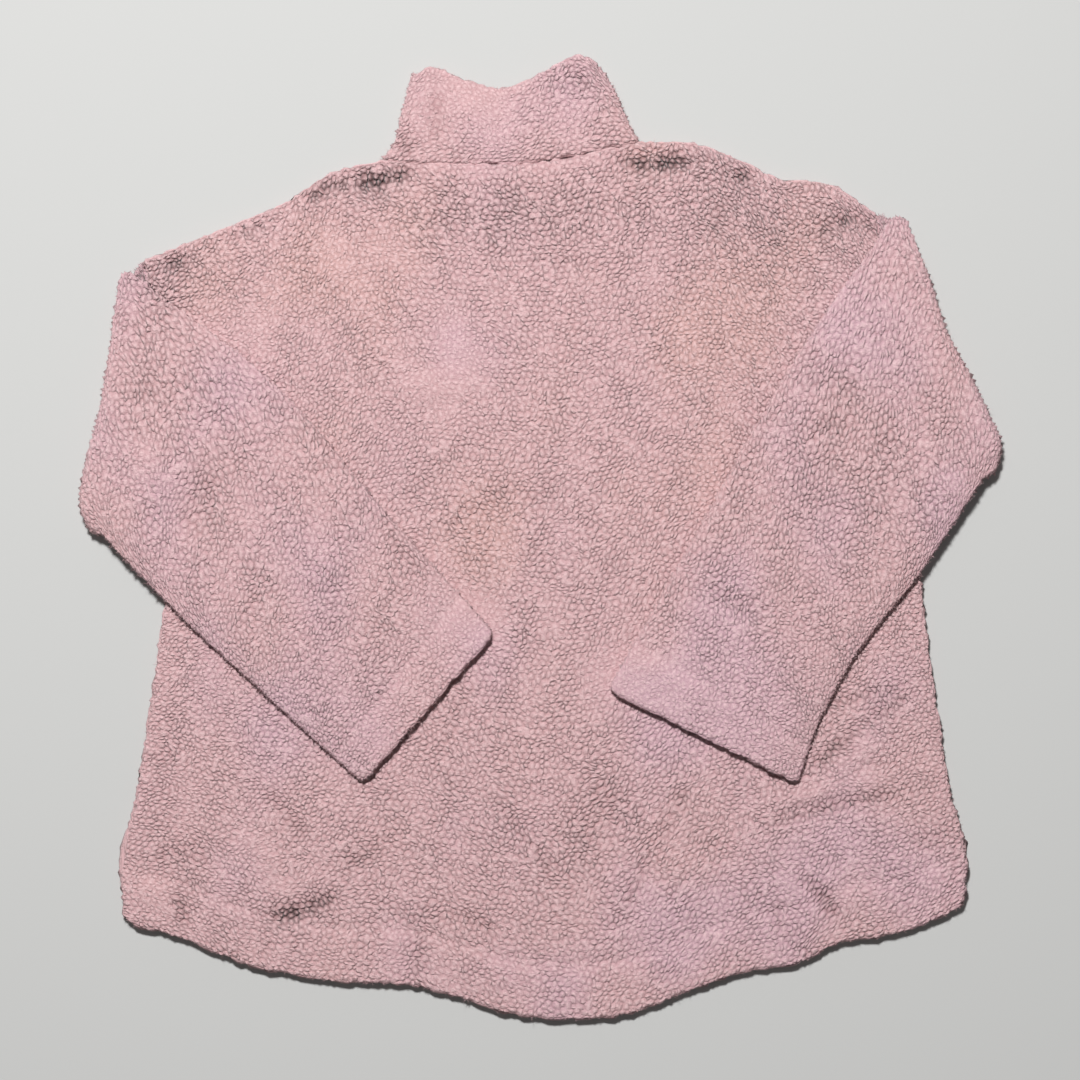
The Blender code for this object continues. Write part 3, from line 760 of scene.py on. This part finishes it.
# %% [markdown]
# ## The sleeves
#
# A sleeve is a tube that lies flat. It leaves its armhole, turns over at the fold and comes
# back across the body, so what was its lower layer ends up on top. In the turn each point
# keeps its distance from the line of the fold. Next to the shoulder the fold is pressed
# lower, because there the cloth is pulled and not stuffed.

# %% Sleeves
FLAT_RUN, OVER_RUN = 45.0, 350.0  # armhole to fold and fold to cuff, on the middle line
TURN_RUN = math.pi * FOLD_AXIS  # round the fold, on the outer layer
SLEEVE_RUN = FLAT_RUN + TURN_RUN + OVER_RUN
TUBE_WIDTH = 185.0  # width of the flattened tube, half way
NARROWING = 0.78  # width at the cuff over that at the fold
SHOULDER_PRESS, SHOULDER_REACH = -5.4, 75.0  # how much lower it lies at the shoulder
CUFF_PRESS, CUFF_REACH = -2.6, 60.0  # and at the cuff, and how far from there
SIDE_PRESS, SIDE_REACH = -2.6, 16.0  # and along its underarm edge
CUFF_COMBED = 1.0  # how much flatter the pile of the cuff lies
CREASE_SHARE = 0.4  # share of a crease that deepens the pile
SLEEVE_TINT = -0.3  # the sleeves are more lilac than the back


def tube(u, width, radius):
    """Fraction across and height of a flattened tube, at fractions u of its way round:
    across the upper layer, round the far edge, back and round the near edge."""
    flat, turn = width - 2 * HALF, math.pi * HALF
    s = u * (2 * flat + 2 * turn)
    part = np.searchsorted([flat, flat + turn, 2 * flat + turn], s, side="right")
    angle = math.pi / 2 - (s - np.where(part == 1, flat, 2 * flat + turn)) / HALF
    across = np.choose(part, [
        HALF + s, width - HALF + radius * np.cos(angle),
        width - HALF - (s - flat - turn), HALF - radius * np.cos(angle)])
    lift = np.choose(part, [1.0, np.sin(angle), -1.0, -np.sin(angle)])
    return across / width, HALF + radius * lift


def lay(shape, armhole, across, height, along):
    """Points of a sleeve, for places along it in millimetres: flat on the ground from the
    armhole, then a half turn round the line of the fold, then back over to the cuff."""
    outward = np.array(shape["outward"])
    fold = smooth(shape["fold"], across)
    start = armhole(1 - across) + outward * SLEEVE_SHIFT
    share = np.clip(along / FLAT_RUN, 0, 1)[:, None]
    angle = np.clip((along - FLAT_RUN) / TURN_RUN, 0, 1) * math.pi
    radius = FOLD_AXIS - height
    reach = np.clip((along - FLAT_RUN - TURN_RUN) / OVER_RUN, 0, 1)
    reach = (NARROWING**reach - 1) / (NARROWING - 1)
    cuff = [shape["arm_top"][-1], shape["underarm"][-1]]
    edges = [join([line]) for line in (shape["fold"], cuff, shape["arm_top"], shape["underarm"])]
    over = rounded(patch(edges, across, reach), cuff, np.mean(shape["fold"], axis=0))
    plan = np.where(reach[:, None] > 0, over, (1 - share) * start + share * fold)
    plan = plan + outward * (radius * np.sin(angle))[:, None]
    return raised(plan, FOLD_AXIS - radius * np.cos(angle)), reach


def sleeve(shape, armhole, table):
    """A sleeve as a surface: round its tube and along its rolled length."""
    cuff_run = float(np.hypot(*np.subtract(shape["underarm"][-1], shape["fold"][-1])))

    def surface(u, v):
        place, full = rolled(v, SLEEVE_RUN)
        along = place * SLEEVE_RUN
        faces = []
        for radius in (HALF, SLIT):
            across, height = tube(u, TUBE_WIDTH, radius)
            points, reach = lay(shape, armhole, across, height, along)
            plan = points[:, :2]
            creases = folds(plan, table)
            from_shoulder = np.linalg.norm(plan - shape["fold"][0], axis=1)
            from_cuff = (1 - reach) * cuff_run
            from_underarm = (1 - across) * TUBE_WIDTH
            press = creases + SHOULDER_PRESS * bell(from_shoulder, SHOULDER_REACH)
            press += CUFF_PRESS * bell(from_cuff, CUFF_REACH)
            press += SIDE_PRESS * bell(from_underarm, SIDE_REACH)
            press += band(from_cuff, *CUFF_BAND)
            faces.append(settle(points, press, BACK_TOP + LAYER_GAP, 2 * HALF))
            if radius == HALF:
                combed = band(from_cuff, CUFF_BAND[0], CUFF_COMBED, 0, CUFF_BAND[3])
                upper = np.clip(1 - height / HALF, 0, 1) * (reach > 0)
                hollow = (CREASE_SHARE * creases + combed) * upper
        return faces[0], faces[1], full, hollow
    return surface


for side, shape, hole, table in (
        ("left", LEFT_SLEEVE, join([LEFT_ARMHOLE]), LEFT_SLEEVE_FOLDS),
        ("right", RIGHT_SLEEVE, join([RIGHT_ARMHOLE]), RIGHT_SLEEVE_FOLDS)):
    sew(f"sherpa_sleeve_{side}", sleeve(shape, hole, table), 2 * TUBE_WIDTH, SLEEVE_RUN,
        closed=True, tint=SLEEVE_TINT)

# %% [markdown]
# ## The collar
#
# The stand collar is one long band. It starts at the centre front, folds at one side, runs
# across the back of the neck, folds again and comes back to the centre front. Flattened, its
# two folds stand up as ears at the sides.

# %% The collar
COLLAR_RUN = 4 * (HALF_COLLAR - HALF) + 2 * math.pi * HALF - FRONT_OPENING
COLLAR_HEIGHT = 78.0
COLLAR_SWELL = 1.0  # how much fuller the band is half way up
neck_back = join([BACK_NECK])  # the collar's pile meets the back's and hides the seam
neck_front = join([LEFT_FRONT_NECK, RIGHT_FRONT_NECK], (0.5,))
collar_top = join([COLLAR_TOP])
neck_ends = neck_back(np.array([0.0, 1.0]))
collar_left = join([moved_end(COLLAR_LEFT, neck_ends[0], 0)])
collar_right = join([moved_end(COLLAR_RIGHT, neck_ends[1], 0)])


def collar_front_low(f):
    """The front neckline, ending on the ends of the back one."""
    low = neck_front(f)
    low[f <= 0], low[f >= 1] = neck_ends[0], neck_ends[1]
    return low


def collar_front_top(f):
    """The top of the front half, a little lower than that of the back half."""
    return collar_top(f) - np.outer(np.sin(np.pi * f), (0, COLLAR_FRONT_DIP))


def collar(u, v):
    """The collar as a surface: along its band from the centre front, and up its height. The
    band is a flattened tube upside down, which starts in the middle of its lower layer."""
    place, full_along = rolled(u, COLLAR_RUN)
    upwards, full_up = rolled(v, COLLAR_HEIGHT)
    start = HALF_COLLAR - HALF + FRONT_OPENING / 2
    around = (start + place * COLLAR_RUN) / (COLLAR_RUN + FRONT_OPENING) % 1
    faces = []
    for radius in (HALF, SLIT):
        across, depth = tube(around, 2 * HALF_COLLAR, radius)
        height = 2 * HALF - depth
        upper = patch((neck_back, collar_top, collar_left, collar_right), across, upwards)
        lower = patch((collar_front_low, collar_front_top, collar_left, collar_right),
                      across, upwards)
        plan = np.where((height >= HALF)[:, None], upper, lower)
        creases = folds(plan, COLLAR_FOLDS)
        press = creases + COLLAR_SWELL * np.sin(np.pi * upwards)
        faces.append(settle(raised(plan, height), press, 0, 2 * HALF))
        if radius == HALF:
            hollow = creases * np.clip(height / HALF - 1, 0, 1)
    return faces[0], faces[1], full_along * full_up, hollow


sew("sherpa_collar", collar, COLLAR_RUN, COLLAR_HEIGHT)

# %% [markdown]
# ## Fibres
#
# The pile ends in loose fibres, which soften every outline. Some twenty thousand short bent
# strands, joined to one mesh for each piece, stand on the edges and, more thinly, on the
# curls. A strand is a three-sided rod of two parts with a pointed tip: 10 triangles.

# %% Fibres
STRAND_LENGTH, STRAND_WIDTH = 2.1, 0.36
LENGTHS = (0.45, 1.2)  # the shortest and the longest, over that length
EDGE_STRANDS, FACE_STRANDS = 1.1, 0.02  # strands for each square millimetre
EDGE_FROM, EDGE_OVER = 0.8, 3  # upright share of a normal where an edge starts
LOWEST = -0.5  # no strands on what looks down more than this
ROOT_DEPTH, LEAN, BEND = 0.3, 0.45, 0.5  # how deep it starts; the spread of its lean and bend
STRAND_RINGS = ((0.0, 1.0), (0.5, 0.75))  # the way along a strand, and its width there


def fibres(name):
    """Strands on a piece, as one mesh.

    A strand starts on a triangle picked by its area, and runs along the normal plus a random
    lean. Its bend grows with the square of the way along it, and its width shrinks."""
    points, triangles = pieces[name]["points"], pieces[name]["triangles"]
    corner = points[triangles]
    cross = crosses(corner)
    area = np.linalg.norm(cross, axis=1) / 2
    normal = cross / (2 * area)[:, None]
    upright = np.abs(normals_of(points, triangles)[triangles[:, 0], 2])
    edge = np.clip((EDGE_FROM - upright) * EDGE_OVER, 0, 1)
    chance = area * (edge * EDGE_STRANDS + FACE_STRANDS) * (normal[:, 2] > LOWEST)
    picked = np.flatnonzero(random.uniform(0, 1, len(area)) < chance)
    n = len(picked)
    share = random.dirichlet((1, 1, 1), n)
    root = np.einsum("nk,nkd->nd", share, corner[picked]) - normal[picked] * ROOT_DEPTH
    run = unit(normal[picked] + random.normal(0, LEAN, (n, 3)))
    bend = random.normal(0, BEND, (n, 3))
    size = STRAND_LENGTH * random.uniform(*LENGTHS, n)
    side = unit(np.cross(run, random.normal(0, 1, (n, 3))))
    other = np.cross(run, side)
    rings = []
    for t, width in STRAND_RINGS:
        at = root + (run * t + bend * t * t) * size[:, None]
        for angle in np.radians((0, 120, 240)):
            rings.append(at + (side * math.cos(angle) + other * math.sin(angle))
                         * STRAND_WIDTH / 2 * width)
    rings.append(root + (run + bend) * size[:, None])
    strand = np.stack(rings, axis=1)
    strand[..., 2] = np.maximum(strand[..., 2], 0)
    faces = [(0, 2, 1)]
    for k in range(3):
        j = (k + 1) % 3
        faces += [(k, j, 3 + j), (k, 3 + j, 3 + k), (3 + k, 3 + j, 6)]
    faces = (np.array(faces)[None] + 7 * np.arange(n)[:, None, None]).reshape(-1, 3)
    points = strand.reshape(-1, 3)
    tone = tone_of(points[:, :2], pieces[name]["tint"])
    print(f"{name}: {n} strands")
    name += "_fibres"
    return new_object(name, new_mesh(name, points, faces, {"tone": tone}))


strands = {name: fibres(name) for name in list(pieces)}

# %% [markdown]
# ## Shader maths as Python
#
# A material is a formula over the surface. A small class wraps the output of a node, so that
# a formula can be written with Python's own operators, each of which adds a Math node.

# %% Sockets with operators
def operator(operation, swapped=False):
    """A method for an operator of Wire, which adds a Math node."""
    return lambda one, two: one.math(operation, *((two, one) if swapped else (one, two)))


class Wire:
    """A node's output that can be added, taken away, multiplied and raised."""

    def __init__(self, finish, socket):
        self.finish, self.socket = finish, socket

    def math(self, operation, *values):
        return self.finish.node("ShaderNodeMath", {"operation": operation},
                                dict(enumerate(values)))

    __add__, __mul__, __pow__ = operator("ADD"), operator("MULTIPLY"), operator("POWER")
    __sub__, __rsub__ = operator("SUBTRACT"), operator("SUBTRACT", swapped=True)


class Finish:
    """A material and the nodes of its formula."""

    def __init__(self, name, **constants):
        self.material = bpy.data.materials.new(name)
        self.material.use_nodes = True
        self.tree = self.material.node_tree
        self.shader = self.tree.nodes["Principled BSDF"]
        self.finished(**constants)

    def node(self, kind, settings=(), sockets=(), out=0):
        """Adds a node: its settings first, then the values or links of its sockets."""
        made = self.tree.nodes.new(kind)
        for title, value in dict(settings).items():
            setattr(made, title, value)
        for title, value in dict(sockets).items():
            self.connect(made.inputs[title], value)
        return Wire(self, made.outputs[out])

    def connect(self, socket, value):
        if isinstance(value, Wire):
            self.tree.links.new(value.socket, socket)
        else:
            socket.default_value = value

    def attribute(self, name):
        """A number that the mesh carries at each point."""
        return self.node("ShaderNodeAttribute", {"attribute_name": name}, out="Fac")

    def noise(self, size, detail=2.0, roughness=0.5):
        """Cloudy noise of about that size in millimetres, from 0 to 1."""
        place = self.node("ShaderNodeTexCoord", out="Object")
        return self.node("ShaderNodeTexNoise", {}, {
            "Vector": place, "Scale": 1 / (size * MM), "Detail": detail, "Roughness": roughness})

    def fit(self, value, low, high, start=0.0, end=1.0, linear=False):
        """The value's way from low to high, eased or straight, as a number from start to end."""
        ease = "LINEAR" if linear else "SMOOTHSTEP"
        return self.node("ShaderNodeMapRange", {"interpolation_type": ease}, dict(zip(
            ("Value", "From Min", "From Max", "To Min", "To Max"), (value, low, high, start, end))))

    def mix(self, share, one, two):
        """Two colours mixed."""
        return self.node("ShaderNodeMix", {"data_type": "RGBA"}, {0: share, 6: one, 7: two},
                         out=2)

    def bump(self, height, distance):
        """A normal from a height, where 1 stands for the distance in millimetres."""
        return self.node("ShaderNodeBump", {}, {
            "Height": height, "Distance": distance * MM, "Strength": 1.0})

    def finished(self, **sockets):
        """The material, once the shader's sockets have these values or links."""
        for title, value in sockets.items():
            self.connect(self.shader.inputs[title.replace("_", " ")], value)
        return self.material

# %% [markdown]
# ## The pink pile
#
# The pink isn't even: it turns to salmon on the shoulders and to lilac in places. The number
# called middle runs from 1 at the top of a curl to 0 in the cracks round it, so a threshold
# on it paints shade into the cracks and a highlight onto the tops. Noise makes the cracks
# wander and break off, as clumps of real pile do.

# %% Materials
SALMON = (0.640, 0.381, 0.364, 1)
PINK = (0.625, 0.381, 0.393, 1)
LILAC = (0.615, 0.386, 0.441, 1)
# Painted shade: the dark colour mixed into the cracks between curls, into creases and into some
# fibres.
PAINTED_SHADE = (0.30, 0.130, 0.125, 1)
# Painted highlight: the lighter colour of the tops of the curls, of some fibres and of the loose
# fibres.
PAINTED_HIGHLIGHT = (0.90, 0.656, 0.66, 1)
# Painted shade, near black, in hollows and on rims that lie in the dark.
DEEP_SHADE = (0.085, 0.035, 0.035, 1)
KNIT_LIGHT, KNIT_DARK = (0.62, 0.40, 0.41, 1), (0.50, 0.31, 0.32, 1)
MATT = {"Roughness": 0.95, "Sheen_Roughness": 0.5, "Specular_IOR_Level": 0.1}
KNIT_ROWS = 160.0  # scale of the wave texture
DOME_RELIEF, TUFT_RELIEF, FIBRE_RELIEF = 3.6, 1.4, 1.0  # in the bump, in millimetres


def pink_of(finish):
    """The colour of the fibres, by tone: lilac, pink or salmon, a little cloudy."""
    tone = finish.attribute("tone") + (finish.noise(30, 3) - 0.5) * 0.5
    warm = finish.mix(finish.fit(tone, 0.0, 1.0), PINK, SALMON)
    return finish.mix(finish.fit(tone * -1, 0.0, 1.0), warm, LILAC)


def pile_material():
    """The pile: painted highlight on tops and fibres, painted shade in broken cracks, creases and
    hollows.
    """
    finish = Finish("sherpa_pile", Sheen_Weight=0.2, **MATT)
    deep, hollow = finish.attribute("deep"), finish.attribute("hollow")
    middle = finish.attribute("middle") + (finish.noise(2.4, 2) - 0.5) * 0.35
    broken = finish.fit(finish.noise(6, 1), 0.4, 0.65)
    crack = finish.fit(middle, -0.05, 0.22, 1.0, 0.0) * broken
    tuft, fibre = finish.noise(1.7, 2, 0.6), finish.noise(0.7, 2, 0.6)
    colour = pink_of(finish)
    for share, shade in (
            # painted highlight on the tops of the curls, then on random fibres
            (finish.fit(middle, 0.2, 0.9, 0.0, 0.5), PAINTED_HIGHLIGHT),  # tops
            (finish.fit(fibre, 0.5, 0.7, 0.0, 0.5), PAINTED_HIGHLIGHT),  # light fibres
            # painted shade in the cracks, stronger where the pile is deep, and in creases
            (crack * deep * 0.6 + finish.attribute("crease") * 0.22, PAINTED_SHADE),
            # painted shade in hollows and on dark rims, strongest in the cracks
            (hollow * finish.fit(middle, 0.9, 0.1, 0.18, 0.95), DEEP_SHADE),
            # random fibres get the painted shade colour
            (finish.fit(fibre, 0.46, 0.3, 0.0, 0.35), PAINTED_SHADE)):  # dark fibres
        colour = finish.mix(share, colour, shade)
    dome = 1 - (1 - finish.fit(middle, -0.1, 1.1, linear=True)) ** 2
    height = dome * deep * DOME_RELIEF + tuft * TUFT_RELIEF + fibre * FIBRE_RELIEF
    return finish.finished(Base_Color=colour, Normal=finish.bump(height, 1.0))


def fibre_material():
    """The loose fibres: the pink of the pile, mixed a little towards the painted highlight."""
    finish = Finish("sherpa_fibres", Sheen_Weight=0.25, **MATT)
    return finish.finished(Base_Color=finish.mix(0.3, pink_of(finish), PAINTED_HIGHLIGHT))


def backing_material():
    """The knitted backing: rows of tiny stitches, seen only inside."""
    finish = Finish("knit_backing", Roughness=0.9, Specular_IOR_Level=0.2)
    place = finish.node("ShaderNodeTexCoord", out="Object")
    rows = finish.node("ShaderNodeTexWave", {"bands_direction": "X"},
                       {"Vector": place, "Scale": KNIT_ROWS, "Distortion": 1.5, "Detail": 1.0})
    colour = finish.mix(rows * 0.35, KNIT_LIGHT, KNIT_DARK)
    return finish.finished(Base_Color=colour, Normal=finish.bump(rows, 0.3))


pile, loose, backing = pile_material(), fibre_material(), backing_material()
for name, strand in strands.items():
    pieces[name]["object"].data.materials.append(pile)
    pieces[name]["object"].data.materials.append(backing)
    strand.data.materials.append(loose)

# %% [markdown]
# ## What the pieces stand for
#
# Each piece takes the place of its solid, whose part it hides, and rides on the part's only
# body. The table lists each piece's cut size, area, hold and what lies under it, which
# nothing reads.

# %% Pieces in place of the solids
SHEETS = {
    # node: cut width and length in metres, area in square metres, how it is held, what under
    "back": ((0.69, 0.70), 0.425, "laid", ["front_left", "front_right"]),
    "front_left": ((0.34, 0.69), 0.205, "laid", []),
    "front_right": ((0.36, 0.69), 0.205, "laid", []),
    "sleeve_left": ((0.46, 0.46), 0.17, "folded", ["back"]),
    "sleeve_right": ((0.46, 0.46), 0.17, "folded", ["back"]),
    "collar": ((0.39, 0.12), 0.035, "folded", []),
}
for node, (cut, area, held, under) in SHEETS.items():
    piece, strand = pieces[f"sherpa_{node}"]["object"], strands[f"sherpa_{node}"]
    for obj in (piece, strand):
        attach(obj, "root")
    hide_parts(node)

# %% [markdown]
# ## Floor, light and camera
#
# The picture is taken straight down. One broad lamp beyond the collar lights the pile from
# the top of the picture, so the lower edges of the cuffs throw the short shadows that show
# how thick the layers are, and a pale sky fills in the rest.

# %% Floor, light and camera
# Lengths in metres, but for the floor's, which goes through new_mesh.
FRAME_WIDTH, FRAME_CENTRE = 0.864, (0.0, -0.0028)
CAMERA_HEIGHT, SENSOR = 3.0, 36.0
SHARP_HEIGHT = 0.010  # the picture's scale is right at this height
FLOOR_HALF, FLOOR_GREY = 6000.0, (0.50, 0.50, 0.49, 1)
KEY_PLACE, KEY_SIZE, KEY_POWER = (-0.45, 1.55, 3.2), 0.45, 165  # it looks at the origin
SKY_STRENGTH = 0.13

square = np.array([(-1, -1, 0), (1, -1, 0), (1, 1, 0), (-1, 1, 0)]) * FLOOR_HALF
floor = new_object("floor", new_mesh("floor", square, [(0, 1, 2, 3)]))
floor.data.materials.append(Finish("floor", Base_Color=FLOOR_GREY, Roughness=0.9).material)

light = bpy.data.lights.new("key", "AREA")
light.shape, light.size, light.energy = "SQUARE", KEY_SIZE, KEY_POWER
key = new_object("key", light)
key.location = KEY_PLACE
east, north, up = KEY_PLACE
key.rotation_euler = (math.atan2(math.hypot(east, north), up), 0, math.atan2(east, -north))

world = bpy.data.worlds.new("sky")
world.use_nodes = True
sky = world.node_tree.nodes["Background"].inputs
sky["Color"].default_value = (1, 1, 1, 1)
sky["Strength"].default_value = SKY_STRENGTH
bpy.context.scene.world = world
bpy.context.scene.view_settings.view_transform = "Standard"

lens = bpy.data.cameras.new("camera")
lens.sensor_width = SENSOR
lens.lens = SENSOR * (CAMERA_HEIGHT - SHARP_HEIGHT) / FRAME_WIDTH
lens.clip_end = 20.0
camera = new_object("camera", lens)
camera.location = (*FRAME_CENTRE, CAMERA_HEIGHT)
bpy.context.scene.camera = camera
